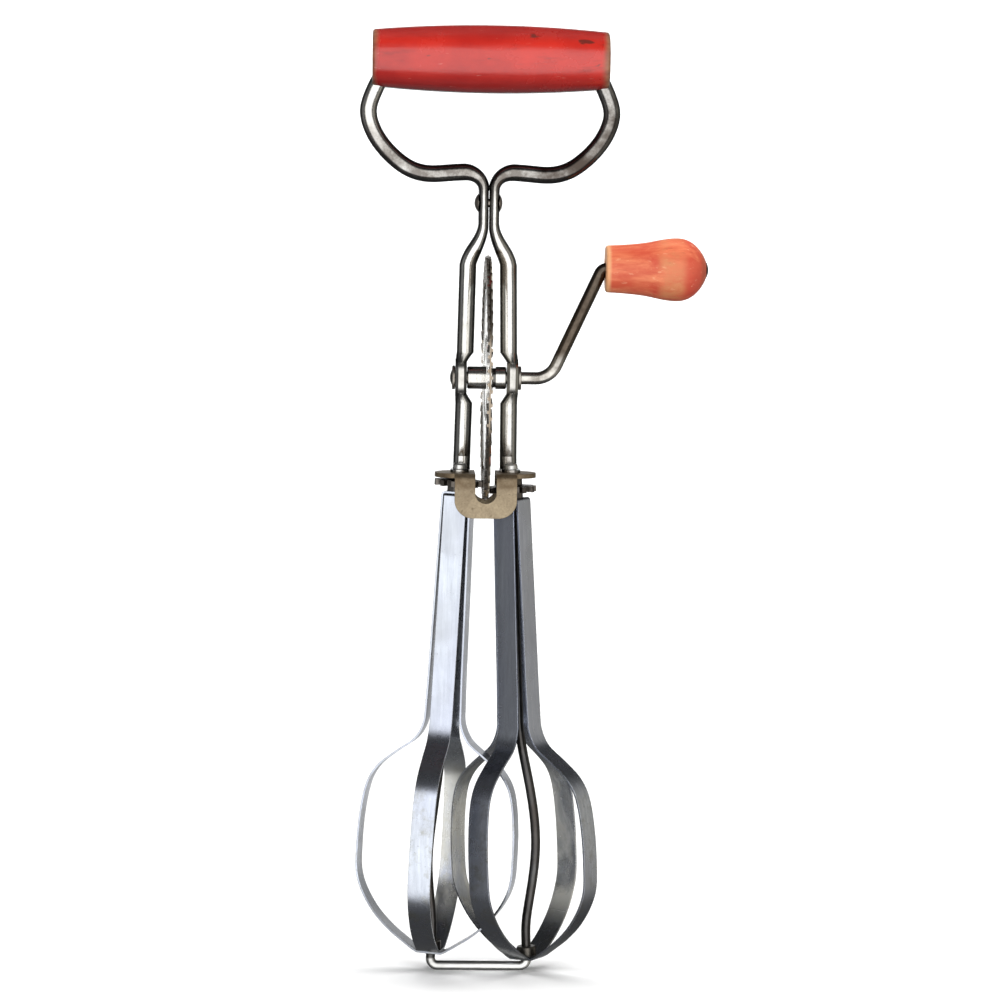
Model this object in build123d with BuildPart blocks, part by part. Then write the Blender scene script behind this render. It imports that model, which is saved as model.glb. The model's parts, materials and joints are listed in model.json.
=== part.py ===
from build123d import *
import math
import os

os.makedirs("parts", exist_ok=True)

# ---------------------------------------------------------------------------
# Rotary egg beater. Millimetres, +Z up, +X to the crank side.
# The origin is the middle of the underside of the spindle wire's bottom bar.
# ---------------------------------------------------------------------------

# --- main heights -----------------------------------------------------------
AXLE_Z = 185.6            # drive wheel axle
GRIP_Z = 283.5            # grip axis
KNOB_Z = 219.7            # crank knob axis
RIVET_Z = 239.5           # neck rivet
PLATE_T = 1.4             # bearing plate sheet
PLATE_BOT = 154.9
PLATE_TOP = PLATE_BOT + PLATE_T

# --- frame rod --------------------------------------------------------------
ROD_R = 2.65
NECK_TOP = 243.2
NECK_BOT = 233.0
NECK_X = 1.68             # middle of each flattened strand
NECK_W = 3.26             # flattened strand, across X
NECK_D = 6.4              # flattened strand, across Y
LEG_TOP = (6.26, 220.5)   # x, z where the legs reach full spread
EYE_IN = 6.2              # inner face of the flattened eye
EYE_OUT = 9.7             # outer face of the flattened eye
EYE_H = 13.2
EYE_D = 9.4
FOOT_T = 0.9
FOOT_Y = 5.1              # the lower legs lean back to this depth

# --- grip -------------------------------------------------------------------
GRIP_HALF = 36.4
GRIP_R_MID = 10.5
GRIP_R_END = 8.8

# --- crank ------------------------------------------------------------------
AXLE_R = 1.95
CRANK_LOW = (19.6, AXLE_Z)
CRANK_HIGH = (35.3, KNOB_Z)
KNOB_X0 = 36.2
KNOB_LEN = 31.1

# --- drive wheel ------------------------------------------------------------
WHEEL_R = 38.0
WHEEL_TEETH = 56
WEB_HALF = 0.25           # half thickness of the disc
RIDGE_TOP = 0.85          # half thickness over the teeth
RIDGE_BASE_W = 1.35
RIDGE_TOP_W = 0.75
RIDGE_R0 = 29.6
RIDGE_R1 = 37.5
HUB_R = 3.5

# --- pinions and beater axes --------------------------------------------------
PINION_TEETH = 12
TIP_R = 7.65
ROOT_R = 6.1
AXIS_X = 8.1              # spindle axis distance from the centre, at AXIS_Z
AXIS_Z = 153.4
AXIS_SLOPE = 6.9 / 148.6  # outward travel of the spindles per mm downward
RIGHT_DROP = 1.8          # the right-hand beater sits this much lower
WIRE_R = 1.45
BAR_Z = WIRE_R            # axis height of the bottom bar
BORE_R = 1.53

# --- blades -------------------------------------------------------------------
STRIP_W = 7.0
STRIP_T = 0.6
BLADE_TOP = -3.1          # top face of the outer blade, from the pinion's middle
BLADE_BOT = -147.9        # underside of the outer blade
LEFT_PHASE = -13.0        # turn of the left-hand blades about their axis
RIGHT_PHASE = -36.0

tilt = math.atan(AXIS_SLOPE)


def spindle_plane(side, along=0.0, turn=0.0):
    """Plane square to a spindle. side -1 is left, +1 right; along is measured
    up the spindle from the left pinion's middle height; turn is about it."""
    up = Vector(-side * math.sin(tilt), 0, math.cos(tilt))
    xd = Vector(math.cos(tilt), 0, side * math.sin(tilt))
    base = Vector(side * AXIS_X, 0, AXIS_Z) + up * along
    yd = up.cross(xd)
    a = math.radians(turn)
    return Plane(origin=base, x_dir=xd * math.cos(a) + yd * math.sin(a), z_dir=up)


def axis_x(z):
    """Spindle distance from the centre plane at height z."""
    return AXIS_X + (AXIS_Z - z) * AXIS_SLOPE


# ---------------------------------------------------------------------------
# Frame rod: path of one half, from the middle of the grip to the neck
# ---------------------------------------------------------------------------
loop_pts = [(8.0, GRIP_Z), (16.0, GRIP_Z), (23.5, GRIP_Z - 0.1), (29.4, GRIP_Z - 1.7), (33.2, GRIP_Z - 5.3),
            (36.1, 272.6), (37.45, 267.6), (36.6, 263.0), (33.9, 258.0), (29.4, 253.1), (24.2, 249.6),
            (19.0, 248.3), (13.6, 248.5), (10.6, 248.75), (8.0, 248.9)]
with BuildLine(Plane.XZ) as loop_line:
    Spline([(-x, z) for x, z in loop_pts[::-1]] + loop_pts)
loop_path = loop_line.wire()


def neck_sections(sx):
    """Centre, direction and size of the strand where it goes from round to flat."""
    end = loop_path % 1
    return [((sx * 8.0, 248.9), (sx * end.X, end.Z), 2 * ROD_R, 2 * ROD_R),
            ((sx * 4.6, 248.15), (sx * -1, -0.62), 4.7, 5.7),
            ((sx * 2.35, 246.1), (sx * -0.5, -1), 3.9, 6.15),
            ((sx * NECK_X, NECK_TOP), (0, -1), NECK_W, NECK_D)]


def spread_sections(sx):
    """The strand opening out again below the neck."""
    return [((sx * NECK_X, NECK_BOT), (0, -1), NECK_W, NECK_D),
            ((sx * 2.1, 230.2), (sx * 0.28, -1), 3.7, 6.1),
            ((sx * 3.9, 226.0), (sx * 0.52, -1), 4.6, 5.7),
            ((sx * 5.6, 222.6), (sx * 0.36, -1), 5.1, 5.4),
            ((sx * LEG_TOP[0], LEG_TOP[1]), (0, -1), 2 * ROD_R, 2 * ROD_R)]


def dome_profile(sx, x0, zc, h, r):
    """Half profile of a spherical dome of height h and base radius r, standing on x0
    and facing sx, for turning about the line z = zc. Drawn in the current sketch."""
    big = (r * r + h * h) / (2 * h)
    with Locations((x0 + sx * (h - big), zc)):
        Circle(big)
    with Locations((x0 + sx * h / 2, zc + r / 2 + 0.25)):
        Rectangle(h, r + 0.5, mode=Mode.INTERSECT)
    with Locations((x0, zc - 5)):
        Rectangle(60, 10, mode=Mode.SUBTRACT)


def strand_plane(pos, direction):
    return Plane(origin=(pos[0], 0, pos[1]), x_dir=(0, 1, 0),
                 z_dir=(direction[0], 0, direction[1]))


# ---------------------------------------------------------------------------
# Grip
# ---------------------------------------------------------------------------
with BuildPart() as grip:
    with BuildSketch(Plane.XZ):
        with BuildLine():
            Line((-GRIP_HALF, GRIP_Z), (-GRIP_HALF, GRIP_Z + GRIP_R_END - 0.9))
            l1 = ThreePointArc((-GRIP_HALF, GRIP_Z + GRIP_R_END - 0.9),
                               (-GRIP_HALF + 0.3, GRIP_Z + GRIP_R_END - 0.25),
                               (-GRIP_HALF + 0.9, GRIP_Z + GRIP_R_END + 0.05))
            ThreePointArc((-GRIP_HALF + 0.9, GRIP_Z + GRIP_R_END + 0.05),
                          (0, GRIP_Z + GRIP_R_MID),
                          (GRIP_HALF - 0.9, GRIP_Z + GRIP_R_END + 0.05))
            ThreePointArc((GRIP_HALF - 0.9, GRIP_Z + GRIP_R_END + 0.05),
                          (GRIP_HALF - 0.3, GRIP_Z + GRIP_R_END - 0.25),
                          (GRIP_HALF, GRIP_Z + GRIP_R_END - 0.9))
            Line((GRIP_HALF, GRIP_Z + GRIP_R_END - 0.9), (GRIP_HALF, GRIP_Z))
            Line((GRIP_HALF, GRIP_Z), (-GRIP_HALF, GRIP_Z))
        make_face()
    revolve(axis=Axis((0, 0, GRIP_Z), (1, 0, 0)))
    # the rod's way through the wood, with a hair of room
    with BuildSketch(Plane(origin=loop_path @ 0, z_dir=loop_path % 0)):
        Circle(ROD_R + 0.05)
    sweep(path=loop_path, mode=Mode.SUBTRACT)
grip.part.label = "grip"
export_step(grip.part, "parts/grip.step")

# ---------------------------------------------------------------------------
# Frame rod
# ---------------------------------------------------------------------------
with BuildPart() as frame_rod:
    with BuildSketch(Plane(origin=loop_path @ 0, x_dir=(0, 1, 0), z_dir=loop_path % 0)):
        Circle(ROD_R)
    sweep(path=loop_path)
    for sx in (1, -1):
        # round to flat, over the shoulder of the neck
        for pos, d, w, dep in neck_sections(sx):
            with BuildSketch(strand_plane(pos, d)):
                Ellipse(dep / 2, w / 2)
        loft()
        # the flattened strand
        with BuildSketch(Plane.XY.offset(NECK_BOT)):
            with Locations((sx * NECK_X, 0)):
                Ellipse(NECK_W / 2, NECK_D / 2)
        extrude(amount=NECK_TOP - NECK_BOT)
        # flat to round again, opening into the legs
        for pos, d, w, dep in spread_sections(sx):
            with BuildSketch(strand_plane(pos, d)):
                Ellipse(dep / 2, w / 2)
        loft()
        # upper leg
        for x, z in (LEG_TOP, (6.72, 193.4)):
            with BuildSketch(Plane.XY.offset(z)):
                with Locations((sx * x, 0)):
                    Circle(ROD_R)
        loft()
        # shoulders into the flattened eye
        for x, z, w, d in ((6.72, 193.4, 5.3, 5.3), (7.35, 192.0, 4.5, 6.2), (7.95, 190.2, 3.4, 8.0)):
            with BuildSketch(Plane.XY.offset(z)):
                with Locations((sx * x, 0)):
                    Ellipse(w / 2, d / 2)
        loft()
        for x, z, w, d in ((7.95, 181.0, 3.4, 8.0), (7.45, 179.2, 4.5, 6.2), (6.95, 177.8, 5.3, 5.3)):
            with BuildSketch(Plane.XY.offset(z)):
                with Locations((sx * x, 0)):
                    Ellipse(w / 2, d / 2)
        loft()
        # the eye: an oval cushion round the axle
        with BuildSketch(Plane.YZ.offset(sx * EYE_IN)):
            with Locations((0, AXLE_Z)):
                Ellipse(EYE_D / 2 - 0.5, EYE_H / 2 - 0.6)
        with BuildSketch(Plane.YZ.offset(sx * (EYE_IN + 0.9))):
            with Locations((0, AXLE_Z)):
                Ellipse(EYE_D / 2, EYE_H / 2)
        with BuildSketch(Plane.YZ.offset(sx * (EYE_OUT - 0.9))):
            with Locations((0, AXLE_Z)):
                Ellipse(EYE_D / 2, EYE_H / 2)
        with BuildSketch(Plane.YZ.offset(sx * EYE_OUT)):
            with Locations((0, AXLE_Z)):
                Ellipse(EYE_D / 2 - 0.6, EYE_H / 2 - 0.7)
        loft(ruled=True)
        # lower leg, leaning back to the foot
        with BuildSketch(Plane.XY.offset(177.8)):
            with Locations((sx * 6.95, 0)):
                Circle(ROD_R)
        with BuildSketch(Plane.XY.offset(161.0)):
            with Locations((sx * 7.2, FOOT_Y)):
                Circle(ROD_R)
        with BuildSketch(Plane.XY.offset(PLATE_TOP + 0.3)):
            with Locations((sx * 7.3, FOOT_Y + 0.1)):
                Circle(ROD_R)
        loft(ruled=True)
        # the foot, hammered flat and turned forward over the spindle
        with BuildSketch(Plane.XY.offset(PLATE_TOP)):
            with Locations((sx * axis_x(PLATE_TOP), 0)):
                Circle(2.9)
            with Locations((sx * 7.45, FOOT_Y)):
                Circle(2.9)
            with Locations((sx * 7.72, FOOT_Y / 2)):
                Rectangle(5.8, FOOT_Y)
        extrude(amount=FOOT_T)
        # axle hole through the eye
        with BuildSketch(Plane.YZ.offset(sx * (EYE_IN - 1))):
            with Locations((0, AXLE_Z)):
                Circle(AXLE_R + 0.08)
        extrude(amount=sx * (EYE_OUT - EYE_IN + 2), mode=Mode.SUBTRACT)
        # spindle hole through the foot
        with BuildSketch(spindle_plane(sx, 1.0)):
            Circle(WIRE_R + 0.02)
        extrude(amount=3.5, mode=Mode.SUBTRACT)
    # rivet hole through both strands
    with BuildSketch(Plane.YZ.offset(-6)):
        with Locations((0, RIVET_Z)):
            Circle(1.32)
    extrude(amount=12, mode=Mode.SUBTRACT)
frame_rod.part.label = "frame_rod"
export_step(frame_rod.part, "parts/frame_rod.step")

# ---------------------------------------------------------------------------
# Neck rivet: shank and two domed heads
# ---------------------------------------------------------------------------
NECK_OUT = NECK_X + NECK_W / 2
with BuildPart() as neck_rivet:
    with BuildSketch(Plane.YZ.offset(-NECK_OUT)):
        with Locations((0, RIVET_Z)):
            Circle(1.3)
    extrude(amount=2 * NECK_OUT)
    for sx, h, r in ((-1, 1.2, 2.8), (1, 0.9, 2.7)):
        with BuildSketch(Plane.XZ):
            dome_profile(sx, sx * NECK_OUT, RIVET_Z, h, r)
        revolve(axis=Axis((0, 0, RIVET_Z), (1, 0, 0)))
neck_rivet.part.label = "neck_rivet"
export_step(neck_rivet.part, "parts/neck_rivet.step")

# ---------------------------------------------------------------------------
# Bearing plate
# ---------------------------------------------------------------------------
FL_IN = 8.1               # inner face of the turned-down flanges
FL_OUT = FL_IN + PLATE_T
FL_HALF = 9.6
FL_BOT = 142.7
SLOT = 3.25
WING_R = 7.6
with BuildPart() as bearing_plate:
    with BuildSketch(Plane.XY.offset(PLATE_BOT)):
        Rectangle(2 * FL_HALF, 2 * FL_IN)
        with Locations((AXIS_X, 0), (-AXIS_X, 0)):
            Circle(WING_R)
    extrude(amount=PLATE_T)
    # bend and flange, front and back
    for sy in (-1, 1):
        with BuildSketch(Plane.YZ.offset(-FL_HALF)):
            with BuildLine():
                y0, y1, y2 = sy * (FL_IN - 0.6), sy * FL_IN, sy * FL_OUT
                Line((y0, PLATE_TOP), (y0, PLATE_BOT))
                ThreePointArc((y0, PLATE_BOT), (sy * (FL_IN - 0.6 + 0.6 * 0.7071), PLATE_BOT - 0.6 + 0.6 * 0.7071),
                              (y1, PLATE_BOT - 0.6))
                Line((y1, PLATE_BOT - 0.6), (y1, FL_BOT))
                Line((y1, FL_BOT), (y2, FL_BOT))
                Line((y2, FL_BOT), (y2, PLATE_BOT - 0.6))
                r = PLATE_T + 0.6
                ThreePointArc((y2, PLATE_BOT - 0.6),
                              (sy * (FL_IN - 0.6 + r * 0.7071), PLATE_BOT - 0.6 + r * 0.7071),
                              (y0, PLATE_TOP))
            make_face()
        extrude(amount=2 * FL_HALF)
    # rounded lower corners of both flanges
    with BuildSketch(Plane.XZ.offset(-15)):
        with BuildLine():
            Polyline((-FL_HALF - 1, FL_BOT + 6.6), (-FL_HALF, FL_BOT + 6.6))
            ThreePointArc((-FL_HALF, FL_BOT + 6.6), (-FL_HALF + 1.55, FL_BOT + 1.75), (-FL_HALF + 5.4, FL_BOT))
            Polyline((-FL_HALF + 5.4, FL_BOT), (-FL_HALF + 5.4, FL_BOT - 1), (-FL_HALF - 1, FL_BOT - 1),
                     (-FL_HALF - 1, FL_BOT + 6.6))
        make_face()
        mirror(about=Plane.YZ)
    extrude(amount=30, mode=Mode.SUBTRACT)
    # slot for the wheel, with a round bottom in the flanges
    with BuildSketch(Plane.XZ.offset(-15)):
        with Locations((0, 147.3 + SLOT)):
            Circle(SLOT)
        with Locations((0, 147.3 + SLOT + 6)):
            Rectangle(2 * SLOT, 12)
    extrude(amount=30, mode=Mode.SUBTRACT)
    # spindle holes
    for sx in (-1, 1):
        with BuildSketch(spindle_plane(sx, -2.0)):
            Circle(WIRE_R + 0.02)
        extrude(amount=8, mode=Mode.SUBTRACT)
bearing_plate.part.label = "bearing_plate"
export_step(bearing_plate.part, "parts/bearing_plate.step")

# ---------------------------------------------------------------------------
# Beater wire: bottom bar, two bowed legs, two peened heads on the feet
# ---------------------------------------------------------------------------
FOOT_TOP = PLATE_TOP + FOOT_T
CORNER_R = 2.2


def wire_leg(side):
    def at(z, bow=0.0):
        return (side * (axis_x(z) + bow), z)
    top = at(FOOT_TOP + 0.2)
    dn = (side * AXIS_SLOPE, -1)
    if side > 0:
        mids = [at(63.2, 1.9), at(47.4, 3.9), at(37.0, 3.8), at(21.5, 1.3)]
    else:
        mids = [at(62.0, 0.9), at(48.0, 2.0), at(34.0, 2.5), at(20.0, 0.8)]
    with BuildLine(Plane.XZ) as ln:
        Line(top, at(80.0))
        Spline([at(80.0)] + mids + [at(11.0)], tangents=[dn, dn])
        FilletPolyline(at(11.0), at(BAR_Z), (0, BAR_Z), radius=CORNER_R)
    return ln.wire()


with BuildPart() as beater_wire:
    for sx in (-1, 1):
        wp = wire_leg(sx)
        with BuildSketch(Plane(origin=wp @ 0, z_dir=wp % 0)):
            Circle(WIRE_R)
        sweep(path=wp)
        # peened head
        top_off = (FOOT_TOP - AXIS_Z) / math.cos(tilt)
        with BuildSketch(spindle_plane(sx, top_off + 0.13)):
            Circle(2.2)
        with BuildSketch(spindle_plane(sx, top_off + 1.3)):
            Circle(2.12)
        with BuildSketch(spindle_plane(sx, top_off + 1.85)):
            Circle(1.75)
        loft(ruled=True)
beater_wire.part.label = "beater_wire"
export_step(beater_wire.part, "parts/beater_wire.step")

# ---------------------------------------------------------------------------
# Drive wheel: disc with radial teeth on both faces, staggered by half a pitch
# ---------------------------------------------------------------------------
pitch = 360.0 / WHEEL_TEETH
with BuildPart() as drive_wheel:
    with BuildSketch(Plane.YZ.offset(-WEB_HALF)):
        with Locations((0, AXLE_Z)):
            Circle(WHEEL_R)
            Circle(HUB_R - 0.8, mode=Mode.SUBTRACT)
    extrude(amount=2 * WEB_HALF)
    # shallow pressed rings, one each face
    for sx in (-1, 1):
        with BuildSketch(Plane.YZ.offset(sx * WEB_HALF)):
            with Locations((0, AXLE_Z)):
                Circle(27.6)
                Circle(26.4, mode=Mode.SUBTRACT)
        extrude(amount=sx * 0.2)
        with BuildSketch(Plane.YZ.offset(sx * WEB_HALF)):
            with Locations((0, AXLE_Z)):
                Circle(13.4)
                Circle(12.4, mode=Mode.SUBTRACT)
        extrude(amount=sx * 0.2)
    for sx in (-1, 1):
        # one tooth at the bottom of the wheel, then all round
        start = 0.0 if sx < 0 else pitch / 2
        for k in range(WHEEL_TEETH):
            a = math.radians(start + k * pitch)
            rad = Vector(0, math.sin(a), -math.cos(a))
            tan = Vector(0, math.cos(a), math.sin(a))
            org = Vector(0, 0, AXLE_Z) + rad * RIDGE_R0
            with BuildSketch(Plane(origin=org, x_dir=tan, z_dir=rad)):
                sgn = 1 if Vector(rad).cross(tan).X * sx > 0 else -1
                with BuildLine():
                    Polyline((-RIDGE_BASE_W / 2, sgn * 0.1), (RIDGE_BASE_W / 2, sgn * 0.2),
                             (RIDGE_BASE_W / 2, sgn * WEB_HALF), (RIDGE_TOP_W / 2, sgn * RIDGE_TOP),
                             (-RIDGE_TOP_W / 2, sgn * RIDGE_TOP), (-RIDGE_BASE_W / 2, sgn * WEB_HALF),
                             close=True)
                make_face()
        extrude(amount=RIDGE_R1 - RIDGE_R0)
drive_wheel.part.label = "drive_wheel"
export_step(drive_wheel.part, "parts/drive_wheel.step")

# ---------------------------------------------------------------------------
# Wheel hub: a shouldered bush, flange and groove on the crank side
# ---------------------------------------------------------------------------
with BuildPart() as wheel_hub:
    with BuildSketch(Plane.XZ):
        with BuildLine():
            z = AXLE_Z
            Polyline((-6.0, z + AXLE_R), (-6.0, z + HUB_R - 0.3), (-5.7, z + HUB_R), (-WEB_HALF, z + HUB_R),
                     (-WEB_HALF, z + HUB_R - 0.8), (WEB_HALF, z + HUB_R - 0.8), (WEB_HALF, z + 4.6),
                     (1.5, z + 4.6), (1.9, z + 4.2), (1.9, z + 3.05), (2.75, z + 3.05), (2.75, z + HUB_R),
                     (5.7, z + HUB_R), (6.0, z + HUB_R - 0.3), (6.0, z + AXLE_R), close=True)
        make_face()
    revolve(axis=Axis((0, 0, AXLE_Z), (1, 0, 0)))
wheel_hub.part.label = "wheel_hub"
export_step(wheel_hub.part, "parts/wheel_hub.step")

# ---------------------------------------------------------------------------
# Axle washers
# ---------------------------------------------------------------------------
for label, x0 in (("left_axle_washer", -EYE_OUT - 0.08 - 0.9), ("right_axle_washer", EYE_OUT + 0.08)):
    with BuildPart() as washer:
        with BuildSketch(Plane.YZ.offset(x0)):
            with Locations((0, AXLE_Z)):
                Circle(3.7)
        extrude(amount=0.9)
        chamfer(washer.edges().filter_by(GeomType.CIRCLE), 0.18)
        with BuildSketch(Plane.YZ.offset(x0 - 1)):
            with Locations((0, AXLE_Z)):
                Circle(AXLE_R)
        extrude(amount=3, mode=Mode.SUBTRACT)
    washer.part.label = label
    export_step(washer.part, "parts/" + label + ".step")

# ---------------------------------------------------------------------------
# Crank rod: axle, arm and knob pin bent from one rod
# ---------------------------------------------------------------------------
AXLE_END = -EYE_OUT - 0.08 - 0.9
KNOB_END = KNOB_X0 + KNOB_LEN
crank_mid = ((CRANK_LOW[0] + CRANK_HIGH[0]) / 2, (CRANK_LOW[1] + CRANK_HIGH[1]) / 2)
with BuildLine(Plane.XZ) as crank_line:
    FilletPolyline((AXLE_END, AXLE_Z), CRANK_LOW, crank_mid, radius=7.0)
    FilletPolyline(crank_mid, CRANK_HIGH, (KNOB_END + 0.1, KNOB_Z), radius=2.6)
with BuildPart() as crank_rod:
    with BuildSketch(Plane.YZ.offset(AXLE_END)):
        with Locations((0, AXLE_Z)):
            Circle(AXLE_R)
    sweep(path=crank_line.wire())
    # both ends riveted over
    with BuildSketch(Plane.XZ):
        dome_profile(-1, AXLE_END, AXLE_Z, 0.7, 2.5)
    revolve(axis=Axis((0, 0, AXLE_Z), (1, 0, 0)))
    with BuildSketch(Plane.XZ):
        dome_profile(1, KNOB_END + 0.1, KNOB_Z, 0.7, 2.5)
    revolve(axis=Axis((0, 0, KNOB_Z), (1, 0, 0)))
crank_rod.part.label = "crank_rod"
export_step(crank_rod.part, "parts/crank_rod.step")

# ---------------------------------------------------------------------------
# Crank knob
# ---------------------------------------------------------------------------
with BuildPart() as crank_knob:
    with BuildSketch(Plane.XZ):
        with BuildLine():
            def k(d, r):
                return (KNOB_X0 + d, KNOB_Z + r)
            Line(k(1.4, AXLE_R + 0.08), k(0, 2.9))
            Line(k(0, 2.9), k(0, 6.6))
            ThreePointArc(k(0, 6.6), k(0.25, 7.05), k(0.7, 7.28))
            Spline([k(0.7, 7.28), k(5.0, 7.5), k(9.2, 7.85), k(13.2, 8.4), k(16.9, 9.15), k(20.6, 9.68),
                    k(23.8, 9.58), k(26.4, 8.6), k(28.4, 7.0), k(29.9, 5.1), k(30.8, 3.4), k(31.1, 2.6)])
            Line(k(31.1, 2.6), k(31.1, AXLE_R + 0.08))
            Line(k(31.1, AXLE_R + 0.08), k(1.4, AXLE_R + 0.08))
        make_face()
    revolve(axis=Axis((0, 0, KNOB_Z), (1, 0, 0)))
crank_knob.part.label = "crank_knob"
export_step(crank_knob.part, "parts/crank_knob.step")

# ---------------------------------------------------------------------------
# Beaters
# ---------------------------------------------------------------------------
# half profile of the strip's middle line: distance from the axis, height
strip_pts = [(4.75, -31.0), (5.05, -49.5), (5.5, -70.0), (5.9, -75.6), (8.3, -80.6), (14.0, -85.2),
             (19.4, -89.9), (22.0, -93.9), (23.4, -98.5), (24.5, -107.0), (24.8, -116.5),
             (24.35, -124.6), (22.3, -130.2), (18.1, -136.5), (12.9, -141.5), (9.0, -144.3)]


def catmull(pts, n=3):
    """Smooth points through pts; the first and last only steer the ends."""
    out = []
    for i in range(1, len(pts) - 2):
        p0, p1, p2, p3 = pts[i - 1], pts[i], pts[i + 1], pts[i + 2]
        t = [0.0]
        for a, b in ((p0, p1), (p1, p2), (p2, p3)):
            t.append(t[-1] + math.hypot(b[0] - a[0], b[1] - a[1]) ** 0.5)
        for k in range(n):
            u = t[1] + (t[2] - t[1]) * k / n

            def mix(a, b, ta, tb):
                w = (u - ta) / (tb - ta)
                return (a[0] + (b[0] - a[0]) * w, a[1] + (b[1] - a[1]) * w)
            a1, a2, a3 = mix(p0, p1, t[0], t[1]), mix(p1, p2, t[1], t[2]), mix(p2, p3, t[2], t[3])
            b1, b2 = mix(a1, a2, t[0], t[2]), mix(a2, a3, t[1], t[3])
            out.append(mix(b1, b2, t[1], t[2]))
    out.append(pts[-2])
    return out


def blade_outline(inset):
    """Outer and inner edge of one half of a blade, from the shoulder at the top
    to where the strip lies flat at the bottom."""
    zt = BLADE_TOP - STRIP_T / 2 - inset
    zb = BLADE_BOT + STRIP_T / 2 + inset
    mid = catmull([(4.3, zt - 0.2), (4.3, zt - 0.8)] + strip_pts + [(3.8, zb), (2.6, zb)])
    outer, inner = [], []
    for i, (x, z) in enumerate(mid):
        if i == 0:
            dx, dz = 0.0, -1.0
        elif i == len(mid) - 1:
            dx, dz = -1.0, 0.0
        else:
            dx, dz = mid[i + 1][0] - mid[i - 1][0], mid[i + 1][1] - mid[i - 1][1]
        ln = math.hypot(dx, dz)
        nx, nz = -dz / ln, dx / ln
        outer.append((x + nx * STRIP_T / 2, z + nz * STRIP_T / 2))
        inner.append((x - nx * STRIP_T / 2, z - nz * STRIP_T / 2))
    return zt, zb, outer, inner


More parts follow.
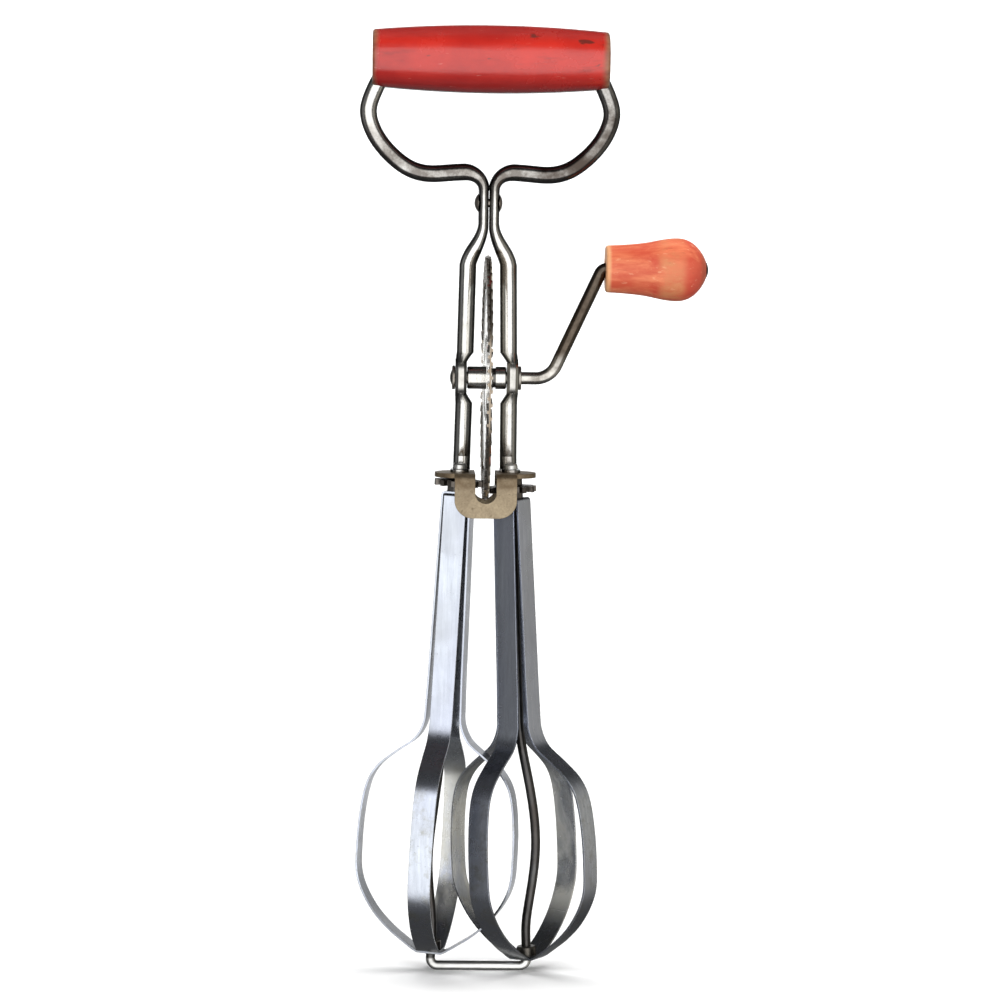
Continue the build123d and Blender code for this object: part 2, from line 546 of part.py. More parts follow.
for side, name, phase, drop in ((-1, "left", LEFT_PHASE, 0.0), (1, "right", RIGHT_PHASE, -RIGHT_DROP)):
    # gear phase: left pinion shows a gap to the wheel, right pinion a tooth
    gear_turn = 0.0 if side < 0 else 15.0
    base = spindle_plane(side, drop)

    def at(h, turn=0.0):
        return spindle_plane(side, drop + h, turn)

    # pinion: slightly coned toothed disc with a long thin hub through the blades
    with BuildPart() as pinion:
        prof = Plane(origin=base.origin, x_dir=base.x_dir, z_dir=base.x_dir.cross(base.z_dir))
        with BuildSketch(prof):
            with BuildLine():
                Polyline((BORE_R, 0.95), (3.3, 0.95), (3.6, 0.85), (TIP_R, 0.4), (TIP_R, -1.35), (3.6, -1.0),
                         (2.3, -1.0), (2.3, BLADE_TOP - 2 * STRIP_T), (2.9, BLADE_TOP - 2 * STRIP_T),
                         (2.7, BLADE_TOP - 2 * STRIP_T - 0.5), (BORE_R, BLADE_TOP - 2 * STRIP_T - 0.5),
                         close=True)
            make_face()
        revolve(axis=Axis(base.origin, base.z_dir))
        # tooth gaps
        for k in range(PINION_TEETH):
            with BuildSketch(at(-3.0, gear_turn + k * 360.0 / PINION_TEETH)):
                with BuildLine():
                    Polyline((ROOT_R, -0.66), (TIP_R + 0.6, -1.66), (TIP_R + 0.6, 1.66), (ROOT_R, 0.66), close=True)
                make_face()
            extrude(amount=6, mode=Mode.SUBTRACT)
    pinion.part.label = name + "_pinion"
    export_step(pinion.part, "parts/" + name + "_pinion.step")

    # thrust washer between pinion and plate
    w_top = 1.30 if side < 0 else 1.30 + RIGHT_DROP
    with BuildPart() as thrust:
        with BuildSketch(at(0.98)):
            Circle(3.4)
            Circle(BORE_R + 0.02, mode=Mode.SUBTRACT)
        extrude(amount=w_top - 0.98)
    thrust.part.label = name + "_thrust_washer"
    export_step(thrust.part, "parts/" + name + "_thrust_washer.step")

    # collar on the pinion hub
    with BuildPart() as collar:
        with BuildSketch(at(BLADE_TOP)):
            Circle(3.5)
            Circle(2.31, mode=Mode.SUBTRACT)
        extrude(amount=-1.0 - BLADE_TOP)
    collar.part.label = name + "_blade_collar"
    export_step(collar.part, "parts/" + name + "_blade_collar.step")

    # the two crossed loops of strip
    for which, extra, inset in (("outer", 0.0, 0.0), ("inner", 90.0, STRIP_T)):
        zt, zb, outer, inner = blade_outline(inset)
        h = STRIP_T / 2
        with BuildPart() as blade:
            for flip in (0, 180):
                tp = at(0.0, phase + extra + flip)
                with BuildSketch(Plane(origin=tp.origin, x_dir=tp.x_dir, z_dir=tp.x_dir.cross(tp.z_dir))):
                    with BuildLine():
                        Line((0, zt + h), (3.5, zt + h))
                        ThreePointArc((3.5, zt + h), (3.5 + 1.1 * 0.7071, zt + h - 1.1 + 1.1 * 0.7071),
                                      (4.6, zt + h - 1.1))
                        Spline(outer)
                        Line(outer[-1], (0, zb - h))
                        Line((0, zb - h), (0, zb + h))
                        Line((0, zb + h), inner[-1])
                        Spline(inner[::-1])
                        ThreePointArc(inner[0], (3.5 + 0.5 * 0.7071, zt - h - 0.5 + 0.5 * 0.7071), (3.5, zt - h))
                        Line((3.5, zt - h), (0, zt - h))
                        Line((0, zt - h), (0, zt + h))
                    make_face()
                extrude(amount=STRIP_W / 2, both=True)
            # hub hole at the top, bush hole at the bottom
            with BuildSketch(at(BLADE_TOP - 3.0)):
                Circle(2.31)
            extrude(amount=4, mode=Mode.SUBTRACT)
            with BuildSketch(at(BLADE_BOT - 1.0)):
                Circle(2.26)
            extrude(amount=4, mode=Mode.SUBTRACT)
        blade.part.label = name + "_" + which + "_blade"
        export_step(blade.part, "parts/" + name + "_" + which + "_blade.step")

    # bottom bush, flared under the blades
    with BuildPart() as bush:
        prof = Plane(origin=base.origin, x_dir=base.x_dir, z_dir=base.x_dir.cross(base.z_dir))
        top = BLADE_BOT + 2 * STRIP_T
        with BuildSketch(prof):
            with BuildLine():
                Polyline((BORE_R, top + 2.7), (2.7, top + 2.7), (3.0, top + 2.4), (3.1, top), (2.25, top),
                         (2.25, BLADE_BOT), (2.8, BLADE_BOT), (2.6, BLADE_BOT - 0.3), (BORE_R, BLADE_BOT - 0.3),
                         close=True)
            make_face()
        revolve(axis=Axis(base.origin, base.z_dir))
    bush.part.label = name + "_bottom_bush"
    export_step(bush.part, "parts/" + name + "_bottom_bush.step")
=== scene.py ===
import json
import math
import random

import bmesh
import bpy
from mathutils import Matrix, Vector

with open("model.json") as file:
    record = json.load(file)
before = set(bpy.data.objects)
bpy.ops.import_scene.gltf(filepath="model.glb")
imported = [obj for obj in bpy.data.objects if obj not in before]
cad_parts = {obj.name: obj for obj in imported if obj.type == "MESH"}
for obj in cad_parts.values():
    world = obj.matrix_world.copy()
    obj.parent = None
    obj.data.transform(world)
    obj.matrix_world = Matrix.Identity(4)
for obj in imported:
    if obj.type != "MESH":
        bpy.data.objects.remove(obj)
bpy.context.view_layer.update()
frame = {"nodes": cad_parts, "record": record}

rng = random.Random(7)
scene = bpy.context.scene
nodes_by_name = frame["nodes"]

# --------------------------------------------------------------------------
# Shader helpers
# --------------------------------------------------------------------------


class Mat:
    """A small builder for a Principled material."""

    def __init__(self, name):
        self.m = bpy.data.materials.new(name)
        self.m.use_nodes = True
        self.t = self.m.node_tree
        self.t.nodes.clear()
        self.out = self.t.nodes.new("ShaderNodeOutputMaterial")
        self.p = self.t.nodes.new("ShaderNodeBsdfPrincipled")
        self.t.links.new(self.p.outputs[0], self.out.inputs["Surface"])
        self.tc = self.t.nodes.new("ShaderNodeTexCoord")

    def link(self, a, b):
        self.t.links.new(a, b)

    def node(self, kind, **kw):
        n = self.t.nodes.new(kind)
        for k, v in kw.items():
            setattr(n, k, v)
        return n

    def coords(self, scale=(1, 1, 1), loc=(0, 0, 0), rot=(0, 0, 0)):
        mp = self.node("ShaderNodeMapping")
        mp.inputs["Scale"].default_value = scale
        mp.inputs["Location"].default_value = loc
        mp.inputs["Rotation"].default_value = rot
        self.link(self.tc.outputs["Object"], mp.inputs["Vector"])
        return mp.outputs["Vector"]

    def noise(self, vec, scale, detail=6.0, rough=0.6, dist=0.0):
        n = self.node("ShaderNodeTexNoise")
        n.inputs["Scale"].default_value = scale
        n.inputs["Detail"].default_value = detail
        n.inputs["Roughness"].default_value = rough
        n.inputs["Distortion"].default_value = dist
        self.link(vec, n.inputs["Vector"])
        return n.outputs["Fac"]

    def voronoi(self, vec, scale, feature="F1"):
        n = self.node("ShaderNodeTexVoronoi", feature=feature)
        n.inputs["Scale"].default_value = scale
        self.link(vec, n.inputs["Vector"])
        return n.outputs["Distance"]

    def ramp(self, fac, stops, interp="LINEAR"):
        n = self.node("ShaderNodeValToRGB")
        n.color_ramp.interpolation = interp
        e = n.color_ramp.elements
        while len(e) < len(stops):
            e.new(0.5)
        for i, (pos, col) in enumerate(stops):
            e[i].position = pos
            c = col if isinstance(col, (tuple, list)) else (col, col, col)
            e[i].color = (*c[:3], 1)
        self.link(fac, n.inputs["Fac"])
        return n.outputs["Color"]

    def math(self, op, a, b=None, c=None, clamp=False):
        n = self.node("ShaderNodeMath", operation=op, use_clamp=clamp)
        for i, v in enumerate((a, b, c)):
            if v is None:
                continue
            if isinstance(v, (int, float)):
                n.inputs[i].default_value = v
            else:
                self.link(v, n.inputs[i])
        return n.outputs[0]

    def mix(self, fac, a, b, kind="MIX"):
        n = self.node("ShaderNodeMix", data_type="RGBA", blend_type=kind)
        for key, v in ((0, fac), (6, a), (7, b)):
            if isinstance(v, (int, float)) and key == 0:
                n.inputs[0].default_value = v
            elif isinstance(v, (tuple, list)):
                n.inputs[key].default_value = (*v[:3], 1)
            else:
                self.link(v, n.inputs[key])
        return n.outputs[2]

    def axis(self, which):
        s = self.node("ShaderNodeSeparateXYZ")
        self.link(self.tc.outputs["Object"], s.inputs[0])
        return s.outputs["XYZ".index(which)]

    def band(self, value, lo, hi, soft):
        """1 between lo and hi, falling to 0 over soft on each side."""
        up = self.node("ShaderNodeMapRange", interpolation_type="SMOOTHSTEP")
        dn = self.node("ShaderNodeMapRange", interpolation_type="SMOOTHSTEP")
        for n, a, b in ((up, lo - soft, lo), (dn, hi + soft, hi)):
            n.inputs["From Min"].default_value = a
            n.inputs["From Max"].default_value = b
            self.link(value, n.inputs["Value"])
        return self.math("MULTIPLY", up.outputs[0], dn.outputs[0])

    def bump(self, parts, round_edge=0.0):
        """parts: (height, strength, distance) from coarse to fine, over edges
        rounded by round_edge metres so that they catch the light."""
        last = None
        if round_edge:
            bv = self.node("ShaderNodeBevel", samples=6)
            bv.inputs["Radius"].default_value = round_edge
            last = bv.outputs["Normal"]
        for h, s, d in parts:
            n = self.node("ShaderNodeBump")
            n.inputs["Strength"].default_value = s
            n.inputs["Distance"].default_value = d
            self.link(h, n.inputs["Height"])
            if last is not None:
                self.link(last, n.inputs["Normal"])
            last = n.outputs["Normal"]
        self.link(last, self.p.inputs["Normal"])

    def set(self, **kw):
        names = {"color": "Base Color", "metal": "Metallic", "rough": "Roughness", "coat": "Coat Weight",
                 "coat_rough": "Coat Roughness", "spec": "Specular IOR Level"}
        for k, v in kw.items():
            s = self.p.inputs[names[k]]
            if isinstance(v, (int, float)):
                s.default_value = v
            elif isinstance(v, (tuple, list)):
                s.default_value = (*v[:3], 1)
            else:
                self.link(v, s)


def metal(name, base, dark, tarnish, rough=(0.16, 0.4), grain=(1, 1, 1), amount=0.5, pits=0.25, grain_scale=600.0,
          metallic=1.0, extra=None, grazing_shade=0.0, grazing_shade_from=0.10, grazing_shade_to=0.46, pale_reflection=None,
          round_edge=0.00012):
    """Worn metal: fine grain along one direction, blotchy tarnish, pits and scratches."""
    m = Mat(name)
    cloud = m.noise(m.coords(), 55.0, 8.0, 0.62, 0.4)
    blotch = m.ramp(cloud, [(0.5 - 0.3 * amount, 0.0), (0.78 - 0.2 * amount, 1.0)])
    fine = m.noise(m.coords(grain), grain_scale, 5.0, 0.7)
    streak = m.noise(m.coords(grain, loc=(0.3, 0.1, 0.7)), grain_scale * 0.22, 4.0, 0.6)
    col = m.mix(m.ramp(fine, [(0.3, 0.0), (0.72, 1.0)]), dark, base)
    col = m.mix(m.math("MULTIPLY", blotch, amount), col, tarnish)
    pit = m.voronoi(m.coords(), 900.0)
    pitmask = m.math("MULTIPLY", m.ramp(pit, [(0.05, 1.0), (0.16, 0.0)]),
                     m.ramp(m.noise(m.coords(loc=(2, 1, 0)), 120.0), [(0.52, 0.0), (0.64, 1.0)]))
    col = m.mix(m.math("MULTIPLY", pitmask, pits), col, [c * 0.25 for c in tarnish])
    if extra:
        col = extra(m, col)
    if grazing_shade:
        # painted shade: the colour darkened towards grazing angles, in place of dark reflections along the rims
        lw = m.node("ShaderNodeLayerWeight")
        lw.inputs["Blend"].default_value = 0.5
        col = m.mix(m.math("MULTIPLY", m.ramp(lw.outputs["Facing"], [(grazing_shade_from, 0.0), (grazing_shade_to, 1.0)]), grazing_shade), col,
                    [c * 0.06 for c in base])
    m.set(color=col, metal=metallic)
    if pale_reflection:
        # painted reflection: a dull pale layer over part of the metal, in place of the bright reflection inside the
        # back strips
        reflection_mask = pale_reflection(m)
        m.set(color=m.mix(reflection_mask, col, (0.70, 0.68, 0.60)),
              metal=m.math("SUBTRACT", metallic, m.math("MULTIPLY", reflection_mask, 0.75)))
    r = m.node("ShaderNodeMapRange")
    r.inputs["To Min"].default_value = rough[0]
    r.inputs["To Max"].default_value = rough[1]
    m.link(m.math("ADD", m.math("MULTIPLY", streak, 0.55), m.math("MULTIPLY", blotch, 0.5)), r.inputs["Value"])
    m.set(rough=r.outputs[0])
    m.bump([(cloud, 0.10, 0.0006), (fine, 0.12, 0.00008), (pitmask, 0.3, -0.00012)], round_edge)
    return m


# --------------------------------------------------------------------------
# Materials
# --------------------------------------------------------------------------
def red_paint():
    m = Mat("red_paint")
    x, z = m.axis("X"), m.axis("Z")
    grain = m.noise(m.coords((0.16, 1, 1)), 520.0, 6.0, 0.65)
    dents = m.noise(m.coords((0.1, 1, 1), loc=(0.4, 0.2, 0)), 260.0, 3.0, 0.5)
    cloud = m.noise(m.coords(), 60.0, 6.0, 0.6)
    col = m.mix(m.ramp(cloud, [(0.3, 0.0), (0.7, 1.0)]), (0.40, 0.013, 0.009), (0.60, 0.026, 0.014))
    col = m.mix(m.math("MULTIPLY", m.ramp(grain, [(0.56, 0.0), (0.74, 1.0)]), 0.45), col, (0.2, 0.01, 0.008))
    # painted shade: darker underside
    underside_shade = m.node("ShaderNodeMapRange", interpolation_type="SMOOTHSTEP")
    underside_shade.inputs["From Min"].default_value = 0.2815
    underside_shade.inputs["From Max"].default_value = 0.2735
    m.link(z, underside_shade.inputs["Value"])
    col = m.mix(m.math("MULTIPLY", underside_shade.outputs[0], 0.55), col, (0.16, 0.01, 0.016))
    # painted shade: deeper red along the top, dimming the top against the light from above
    over = m.node("ShaderNodeMapRange", interpolation_type="SMOOTHSTEP")
    over.inputs["From Min"].default_value = 0.2875
    over.inputs["From Max"].default_value = 0.2925
    m.link(z, over.inputs["Value"])
    col = m.mix(m.math("MULTIPLY", over.outputs[0], 0.62), col, (0.17, 0.008, 0.008))
    # paint worn off at the ends
    ends = m.node("ShaderNodeMapRange", interpolation_type="SMOOTHSTEP")
    ends.inputs["From Min"].default_value = 0.0338
    ends.inputs["From Max"].default_value = 0.0362
    m.link(m.math("ADD", m.math("ABSOLUTE", x), m.math("MULTIPLY", m.math("SUBTRACT", cloud, 0.5), 0.004)),
           ends.inputs["Value"])
    wood = m.mix(m.ramp(grain, [(0.35, 0.0), (0.65, 1.0)]), (0.09, 0.055, 0.03), (0.26, 0.15, 0.075))
    col = m.mix(m.math("MULTIPLY", ends.outputs[0], 0.85), col, wood)
    # chips and scuffs
    chip = m.math("MULTIPLY", m.ramp(m.noise(m.coords((0.5, 1, 1), loc=(1, 3, 2)), 210.0, 3.0, 0.5),
                                     [(0.69, 0.0), (0.72, 1.0)]), 0.8)
    col = m.mix(chip, col, (0.075, 0.018, 0.012))
    dust = m.ramp(m.noise(m.coords((0.3, 1, 1), loc=(5, 0, 1)), 900.0, 2.0, 0.5), [(0.70, 0.0), (0.78, 1.0)])
    col = m.mix(m.math("MULTIPLY", dust, 0.25), col, (0.75, 0.35, 0.28))
    m.set(color=col, metal=0.0, coat=0.35, coat_rough=0.18, spec=0.5)
    m.set(rough=m.math("ADD", m.math("MULTIPLY", cloud, 0.22), m.math("MULTIPLY", ends.outputs[0], 0.3), 0.0))
    m.set(rough=m.math("ADD", m.math("ADD", m.math("MULTIPLY", cloud, 0.2), 0.16),
                       m.math("MULTIPLY", ends.outputs[0], 0.3)))
    m.bump([(dents, 0.34, 0.0005), (grain, 0.26, 0.0002), (chip, 0.4, -0.00015)])
    return m


def worn_wood():
    m = Mat("worn_wood")
    x = m.axis("X")
    grain = m.noise(m.coords((0.1, 1, 1)), 620.0, 7.0, 0.7)
    streak = m.noise(m.coords((0.16, 1, 1), loc=(0.3, 0.5, 0)), 250.0, 5.0, 0.62)
    cloud = m.noise(m.coords((0.5, 1, 1), loc=(0, 0.4, 0)), 190.0, 6.0, 0.66)
    col = m.mix(m.ramp(streak, [(0.36, 0.0), (0.62, 1.0)]), (0.58, 0.090, 0.042), (0.76, 0.225, 0.105))
    red = m.ramp(m.math("ADD", m.math("MULTIPLY", cloud, 0.9), m.math("MULTIPLY", m.math("SUBTRACT", x, 0.0525), 9.0)),
                 [(0.36, 0.0), (0.56, 1.0)])
    col = m.mix(m.math("MULTIPLY", red, 0.8), col, (0.55, 0.060, 0.034))
    patch = m.math("MULTIPLY", m.band(x, 0.0545, 0.0585, 0.0035), m.ramp(cloud, [(0.4, 0.0), (0.6, 1.0)]))
    col = m.mix(m.math("MULTIPLY", patch, 0.4), col, (0.70, 0.42, 0.17))
    rim = m.band(x, 0.030, 0.0370, 0.0012)
    col = m.mix(m.math("MULTIPLY", rim, 0.8), col, (0.76, 0.41, 0.20))
    dark = m.ramp(grain, [(0.60, 0.0), (0.74, 1.0)])
    col = m.mix(m.math("MULTIPLY", dark, 0.6), col, (0.30, 0.05, 0.03))
    pale = m.ramp(m.noise(m.coords((0.35, 1, 1), loc=(2, 7, 1)), 700.0, 4.0, 0.6), [(0.62, 0.0), (0.74, 1.0)])
    col = m.mix(m.math("MULTIPLY", pale, 0.5), col, (0.86, 0.52, 0.30))
    tip = m.band(x, 0.0662, 0.080, 0.0012)
    col = m.mix(m.math("MULTIPLY", tip, 0.5), col, (0.36, 0.10, 0.05))
    m.set(color=col, metal=0.0, spec=0.35)
    m.set(rough=m.math("ADD", m.math("MULTIPLY", streak, 0.25), 0.38))
    m.bump([(streak, 0.24, 0.0004), (grain, 0.4, 0.0002)])
    return m


def rod_extra(m, col):
    """More brown on the lower arms of the loop and near the joints."""
    z = m.axis("Z")
    low = m.band(z, 0.2470, 0.2575, 0.008)
    eye = m.band(z, 0.1790, 0.1925, 0.003)
    foot = m.band(z, 0.1500, 0.1600, 0.004)
    n = m.ramp(m.noise(m.coords(loc=(3, 1, 1)), 140.0, 6.0, 0.65), [(0.34, 0.45), (0.58, 1.0)])
    k = m.math("MULTIPLY", n, m.math("ADD", m.math("ADD", m.math("MULTIPLY", low, 0.85), m.math("MULTIPLY", eye, 0.35)),
                                     m.math("MULTIPLY", foot, 0.35), clamp=True))
    col = m.mix(k, col, (0.075, 0.058, 0.046))
    # the crank side of the loop is the darker one
    side = m.math("MULTIPLY", m.band(m.axis("X"), 0.017, 0.06, 0.006), m.band(z, 0.2475, 0.2760, 0.004))
    return m.mix(m.math("MULTIPLY", m.math("MULTIPLY", side, n), 0.92), col, (0.055, 0.042, 0.034))


def wheel_extra(m, col):
    """Brown teeth round a bright disc."""
    s = m.node("ShaderNodeSeparateXYZ")
    m.link(m.tc.outputs["Object"], s.inputs[0])
    y, z = s.outputs[1], m.math("SUBTRACT", s.outputs[2], 0.1856)
    r = m.math("SQRT", m.math("ADD", m.math("MULTIPLY", y, y), m.math("MULTIPLY", z, z)))
    rim = m.band(r, 0.0292, 0.05, 0.0008)
    face = m.math("LESS_THAN", m.math("ABSOLUTE", s.outputs[0]), 0.0005)
    n = m.ramp(m.noise(m.coords(loc=(1, 1, 1)), 260.0, 6.0, 0.7), [(0.3, 0.4), (0.65, 1.0)])
    col = m.mix(m.math("MULTIPLY", m.math("MULTIPLY", rim, n), 0.62), col, (0.36, 0.27, 0.18))
    col = m.mix(m.math("MULTIPLY", m.math("MULTIPLY", rim, face), 0.42), col, (0.13, 0.10, 0.07))
    return m.mix(m.math("MULTIPLY", m.band(r, 0.0370, 0.05, 0.0003), 0.7), col, (0.20, 0.15, 0.10))


def blade_pale_reflection(m):
    """Painted reflection: a pale dull layer inside the back strips, where they show a bright reflection."""
    y, z = m.axis("Y"), m.axis("Z")
    n = m.ramp(m.noise(m.coords((1, 1, 0.3), loc=(1, 6, 3)), 95.0, 6.0, 0.6, 0.6), [(0.34, 0.0), (0.56, 1.0)])
    zone = m.math("MULTIPLY", m.band(y, 0.0105, 0.06, 0.004), m.band(z, 0.022, 0.056, 0.012))
    return m.math("MULTIPLY", m.math("MULTIPLY", zone, n), 0.62)


def plate_extra(m, col):
    """Painted shade along the bend as a darker brown band, and a few darker spots."""
    z = m.axis("Z")
    n = m.ramp(m.noise(m.coords(loc=(6, 1, 1)), 320.0, 6.0, 0.65), [(0.36, 0.35), (0.60, 1.0)])
    # painted shade: darker brown band along the bend of the flange
    col = m.mix(m.math("MULTIPLY", m.math("MULTIPLY", m.band(z, 0.1528, 0.1590, 0.0018), n), 0.86), col,
                (0.135, 0.092, 0.052))
    spot = m.ramp(m.noise(m.coords(loc=(2, 9, 4)), 780.0, 3.0, 0.6), [(0.60, 0.0), (0.70, 1.0)])
    return m.mix(m.math("MULTIPLY", spot, 0.55), col, (0.11, 0.078, 0.045))


def blade_extra(m, col):
    """Cool blue-grey shifts along the strip, painted shade at the very bottom and olive pitting low down."""
    z = m.axis("Z")
    cool = m.ramp(m.noise(m.coords((1, 1, 0.35), loc=(2, 2, 0)), 42.0, 4.0, 0.5), [(0.38, 0.0), (0.62, 1.0)])
    col = m.mix(m.math("MULTIPLY", cool, 0.5), col, (0.40, 0.42, 0.52))
    low = m.band(z, 0.0, 0.05, 0.03)
    # painted shade: the bottom of the strips, where they turn under, darkened
    col = m.mix(m.math("MULTIPLY", m.band(z, -0.01, 0.0170, 0.014), 0.62), col, (0.10, 0.10, 0.105))
    n = m.ramp(m.noise(m.coords(loc=(7, 2, 0)), 230.0, 7.0, 0.7), [(0.50, 0.0), (0.66, 1.0)])
    return m.mix(m.math("MULTIPLY", m.math("MULTIPLY", low, n), 0.5), col, (0.24, 0.23, 0.18))


def wire_extra(m, col):
    """Bright where the bar has rubbed, bright peened heads on top."""
    z = m.axis("Z")
    n = m.ramp(m.noise(m.coords((0.25, 1, 1), loc=(1, 4, 2)), 200.0, 5.0, 0.6), [(0.36, 0.5), (0.58, 1.0)])
    bar = m.band(z, -0.001, 0.0034, 0.0008)
    head = m.band(z, 0.1575, 0.170, 0.0004)
    k = m.math("ADD", m.math("MULTIPLY", m.math("MULTIPLY", bar, n), 1.0), m.math("MULTIPLY", head, 0.9), clamp=True)
    return m.mix(k, col, (0.74, 0.73, 0.70))


def crank_bend_highlight(m, col):
    """Painted highlight: the low bend made bright metal, in place of the highlight it catches."""
    z = m.axis("Z")
    n = m.ramp(m.noise(m.coords(loc=(4, 4, 2)), 260.0, 5.0, 0.6), [(0.34, 0.3), (0.60, 1.0)])
    k = m.math("MULTIPLY", m.math("MULTIPLY", m.band(z, 0.170, 0.1885, 0.006), n), 0.85)
    return m.mix(k, col, (0.66, 0.63, 0.58))


def hub_extra(m, col):
    x = m.axis("X")
    # painted shade: near-black line in the groove
    groove_shade = m.band(x, 0.00196, 0.00270, 0.00008)
    ring = m.ramp(m.noise(m.coords((60, 1, 1)), 60.0, 2.0, 0.5), [(0.4, 0.0), (0.6, 1.0)])
    col = m.mix(m.math("MULTIPLY", ring, 0.25), col, (0.18, 0.16, 0.14))
    return m.mix(m.math("MULTIPLY", groove_shade, 0.85), col, (0.03, 0.028, 0.025))


MATS = {
    "red_paint": red_paint(),
    "worn_wood": worn_wood(),
    "plated_rod": metal("plated_rod", (0.86, 0.85, 0.82), (0.66, 0.65, 0.62), (0.30, 0.25, 0.20), (0.10, 0.30),
                        (1, 1, 0.5), 0.45, 0.5, 500.0, extra=rod_extra, grazing_shade=0.96, grazing_shade_from=0.06, grazing_shade_to=0.38),
    "plated_rivet": metal("plated_rivet", (0.42, 0.39, 0.35), (0.26, 0.23, 0.20), (0.12, 0.09, 0.07), (0.22, 0.5),
                          amount=0.7),
    "tan_plate": metal("tan_plate", (0.40, 0.325, 0.215), (0.25, 0.195, 0.125), (0.20, 0.15, 0.10), (0.38, 0.62),
                       amount=0.6, pits=0.5, grain_scale=1400.0, metallic=0.75, extra=plate_extra, round_edge=0.0003),
    "dark_wire": metal("dark_wire", (0.11, 0.11, 0.11), (0.05, 0.05, 0.05), (0.08, 0.06, 0.045), (0.25, 0.5),
                       (1, 1, 0.3), 0.5, 0.4, 500.0, extra=wire_extra, grazing_shade=0.5),
    "crank_steel": metal("crank_steel", (0.15, 0.120, 0.092), (0.07, 0.056, 0.043), (0.05, 0.036, 0.026), (0.18, 0.40),
                         amount=0.6, pits=0.6, extra=crank_bend_highlight, grazing_shade=0.7),
    "wheel_steel": metal("wheel_steel", (0.90, 0.89, 0.86), (0.78, 0.77, 0.73), (0.46, 0.39, 0.30), (0.12, 0.30),
                         amount=0.25, pits=0.4, extra=wheel_extra),
    "hub_steel": metal("hub_steel", (0.86, 0.84, 0.80), (0.62, 0.60, 0.56), (0.24, 0.19, 0.15), (0.12, 0.30),
                       amount=0.3, extra=hub_extra, grazing_shade=0.7),
    "washer_steel": metal("washer_steel", (0.52, 0.50, 0.46), (0.34, 0.32, 0.29), (0.15, 0.11, 0.08), (0.25, 0.5),
                          amount=0.6),
    "pinion_steel": metal("pinion_steel", (0.20, 0.18, 0.16), (0.09, 0.08, 0.07), (0.05, 0.038, 0.03), (0.2, 0.5),
                          amount=0.6, pits=0.6),
    "thrust_steel": metal("thrust_steel", (0.24, 0.22, 0.19), (0.12, 0.11, 0.10), (0.06, 0.045, 0.035), (0.3, 0.55),
                          amount=0.6),
    "collar_steel": metal("collar_steel", (0.28, 0.26, 0.24), (0.14, 0.13, 0.12), (0.07, 0.055, 0.045), (0.3, 0.5),
                          amount=0.6),
    "blade_steel": metal("blade_steel", (0.55, 0.58, 0.635), (0.38, 0.405, 0.45), (0.26, 0.255, 0.235), (0.18, 0.38),
                         (1, 1, 0.06), 0.35, 0.7, 900.0, extra=blade_extra, grazing_shade=0.5, grazing_shade_from=0.45, grazing_shade_to=0.8,
                         pale_reflection=blade_pale_reflection, round_edge=0.0002),
    "bush_steel": metal("bush_steel", (0.22, 0.21, 0.19), (0.11, 0.10, 0.09), (0.07, 0.055, 0.04), (0.28, 0.5),
                        amount=0.6),
}

slot_of = {s["node"]: s["material_slot"] for s in frame["record"]["subparts"]}
for name, ob in nodes_by_name.items():
    mat = MATS[slot_of[name]].m
    if not ob.material_slots:
        ob.data.materials.append(mat)
    for s in ob.material_slots:
        s.material = mat

# --------------------------------------------------------------------------
# Stage: pale floor with a far sweep, soft light
# --------------------------------------------------------------------------
floor_mat = Mat("floor_pale")
floor_mat.set(color=(0.92, 0.92, 0.92), rough=0.7, metal=0.0, spec=0.2)
fl_cloud = floor_mat.noise(floor_mat.coords(), 3.0, 3.0, 0.5)
floor_mat.set(color=floor_mat.mix(floor_mat.ramp(fl_cloud, [(0.3, 0.0), (0.7, 1.0)]), (0.91, 0.91, 0.91), (0.94, 0.94, 0.94)))
bm = bmesh.new()
prof = [(-4.0, 0.0), (1.2, 0.0)] + [(1.2 + 1.2 * math.sin(a), 1.2 - 1.2 * math.cos(a))
                                     for a in [math.radians(d) for d in range(6, 91, 6)]] + [(2.4, 5.0)]
rows = [[bm.verts.new((x, y, z - 0.00002)) for y, z in prof] for x in (-5.0, 5.0)]
for i in range(len(prof) - 1):
    f = bm.faces.new((rows[0][i], rows[0][i + 1], rows[1][i + 1], rows[1][i]))
    f.smooth = True
bmesh.ops.recalc_face_normals(bm, faces=bm.faces)
me = bpy.data.meshes.new("floor_sweep")
bm.to_mesh(me)
bm.free()
floor = bpy.data.objects.new("floor_sweep", me)
scene.collection.objects.link(floor)
me.materials.append(floor_mat.m)
floor.visible_glossy = False
floor.visible_diffuse = False

world = bpy.data.worlds.new("studio")
scene.world = world
world.use_nodes = True
wt = world.node_tree
wt.nodes.clear()
wo = wt.nodes.new("ShaderNodeOutputWorld")
bg = wt.nodes.new("ShaderNodeBackground")
wt.links.new(bg.outputs[0], wo.inputs[0])
tc = wt.nodes.new("ShaderNodeTexCoord")
sep = wt.nodes.new("ShaderNodeSeparateXYZ")
wt.links.new(tc.outputs["Generated"], sep.inputs[0])


def wmath(op, a, b=None, clamp=False):
    n = wt.nodes.new("ShaderNodeMath")
    n.operation, n.use_clamp = op, clamp
    for i, v in enumerate((a, b)):
        if v is None:
            continue
        if isinstance(v, (int, float)):
            n.inputs[i].default_value = v
        else:
            wt.links.new(v, n.inputs[i])
    return n.outputs[0]


def wstep(v, lo, hi):
    n = wt.nodes.new("ShaderNodeMapRange")
    n.interpolation_type = "SMOOTHSTEP"
    n.inputs["From Min"].default_value = lo
    n.inputs["From Max"].default_value = hi
    wt.links.new(v, n.inputs["Value"])
    return n.outputs[0]


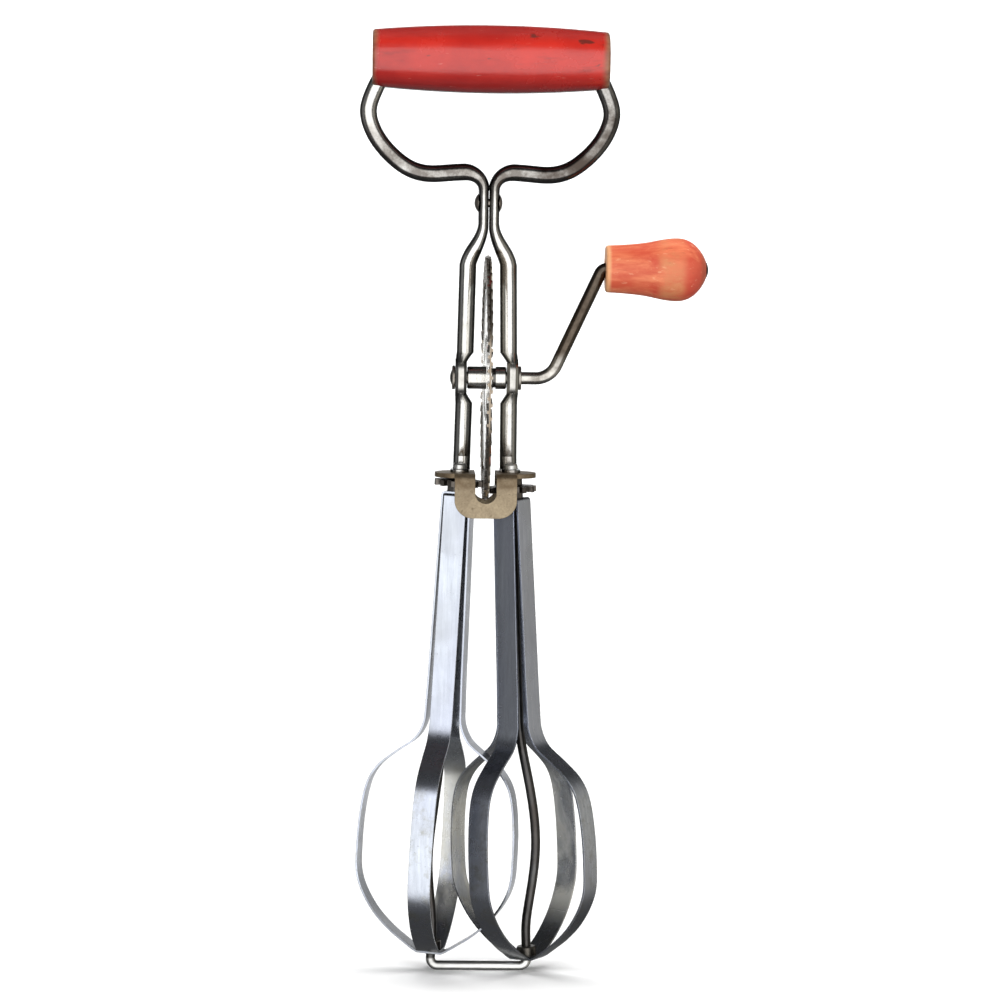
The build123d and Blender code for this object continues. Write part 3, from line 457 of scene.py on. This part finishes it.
dx, dy, dz = sep.outputs[0], sep.outputs[1], sep.outputs[2]
flat = wmath("SQRT", wmath("ADD", wmath("MULTIPLY", dx, dx), wmath("MULTIPLY", dy, dy)))
side = wmath("DIVIDE", dx, wmath("MAXIMUM", flat, 0.001))
ahead = wmath("DIVIDE", dy, wmath("MAXIMUM", flat, 0.001))
# broad soft box behind the viewer
front = wmath("MULTIPLY", wstep(wmath("MULTIPLY", ahead, -1.0), 0.62, 0.84),
              wmath("MULTIPLY", wstep(dz, -0.80, -0.66), wstep(wmath("MULTIPLY", dz, -1.0), -0.74, -0.5)))
# dimmer card to the right
card = wmath("MULTIPLY", wstep(side, 0.80, 0.97), wstep(wmath("MULTIPLY", wmath("ABSOLUTE", dz), -1.0), -0.9, -0.6))
card_l = wmath("MULTIPLY", wstep(wmath("MULTIPLY", side, -1.0), 0.86, 0.99),
               wstep(wmath("MULTIPLY", wmath("ABSOLUTE", dz), -1.0), -0.6, -0.3))
behind = wmath("MULTIPLY", wstep(ahead, 0.78, 0.95), wstep(wmath("MULTIPLY", wmath("ABSOLUTE", dz), -1.0), -0.5, -0.2))
low = wmath("MULTIPLY", wstep(wmath("MULTIPLY", dz, -1.0), 0.3, 0.7), 0.10)
sumv = wmath("ADD", wmath("ADD", wmath("MULTIPLY", front, 1.95), wmath("MULTIPLY", card, 0.58)),
             wmath("ADD", wmath("MULTIPLY", card_l, 0.31), low))
sumv = wmath("ADD", wmath("ADD", sumv, wmath("MULTIPLY", behind, 1.15)), 0.07)
wt.links.new(sumv, bg.inputs["Strength"])
warm = wt.nodes.new("ShaderNodeMix")
warm.data_type = "RGBA"
warm.inputs[6].default_value = (0.985, 0.995, 1.0, 1)
warm.inputs[7].default_value = (1.0, 0.96, 0.85, 1)
wt.links.new(card, warm.inputs[0])
wt.links.new(warm.outputs[2], bg.inputs["Color"])


def area(name, loc, target, size, power, glossy=True, spread=180.0):
    d = bpy.data.lights.new(name, "AREA")
    d.shape = "RECTANGLE"
    d.size, d.size_y = size
    d.energy = power
    d.spread = math.radians(spread)
    o = bpy.data.objects.new(name, d)
    o.location = loc
    o.rotation_mode = "QUATERNION"
    o.rotation_quaternion = (Vector(target) - Vector(loc)).to_track_quat("-Z", "Y")
    o.visible_glossy = glossy
    scene.collection.objects.link(o)
    return o


area("key", (-0.5, -1.0, 1.3), (0, 0, 0.17), (0.5, 0.4), 5.0, glossy=False)
area("fill", (1.0, -1.2, 0.6), (0, 0, 0.15), (0.6, 1.0), 1.0, glossy=False)
area("back_floor", (0.0, 1.1, 3.2), (0.0, 1.2, 0.0), (5.0, 2.4), 170.0, glossy=False)
area("front_floor", (0.0, -2.9, 3.0), (0.0, -2.9001, 0.0), (6.0, 2.0), 110.0, glossy=False, spread=84.0)

# --------------------------------------------------------------------------
# Camera
# --------------------------------------------------------------------------
D, AZ, EL, ROLL = 1.30, -2.0, 5.0, 0.82
MM_PX = 0.31
aim = Vector((0.0047, 0.0, 0.1477))
a, e = math.radians(AZ), math.radians(EL)
back = Vector((math.sin(a) * math.cos(e), -math.cos(a) * math.cos(e), math.sin(e)))
fwd = -back
right = fwd.cross(Vector((0, 0, 1))).normalized()
up = right.cross(fwd)
r = math.radians(ROLL)
right2 = right * math.cos(r) + up * math.sin(r)
up2 = -right * math.sin(r) + up * math.cos(r)
cam_data = bpy.data.cameras.new("camera")
cam_data.sensor_width = 36.0
cam_data.lens = 36.0 * D / MM_PX
cam_data.clip_start, cam_data.clip_end = 0.05, 50.0
cam = bpy.data.objects.new("camera", cam_data)
pos = aim + back * D
cam.matrix_world = Matrix(((right2.x, up2.x, back.x, pos.x), (right2.y, up2.y, back.y, pos.y),
                           (right2.z, up2.z, back.z, pos.z), (0, 0, 0, 1)))
scene.collection.objects.link(cam)
scene.camera = cam
scene.view_settings.view_transform = "Standard"
scene.view_settings.look = "None"
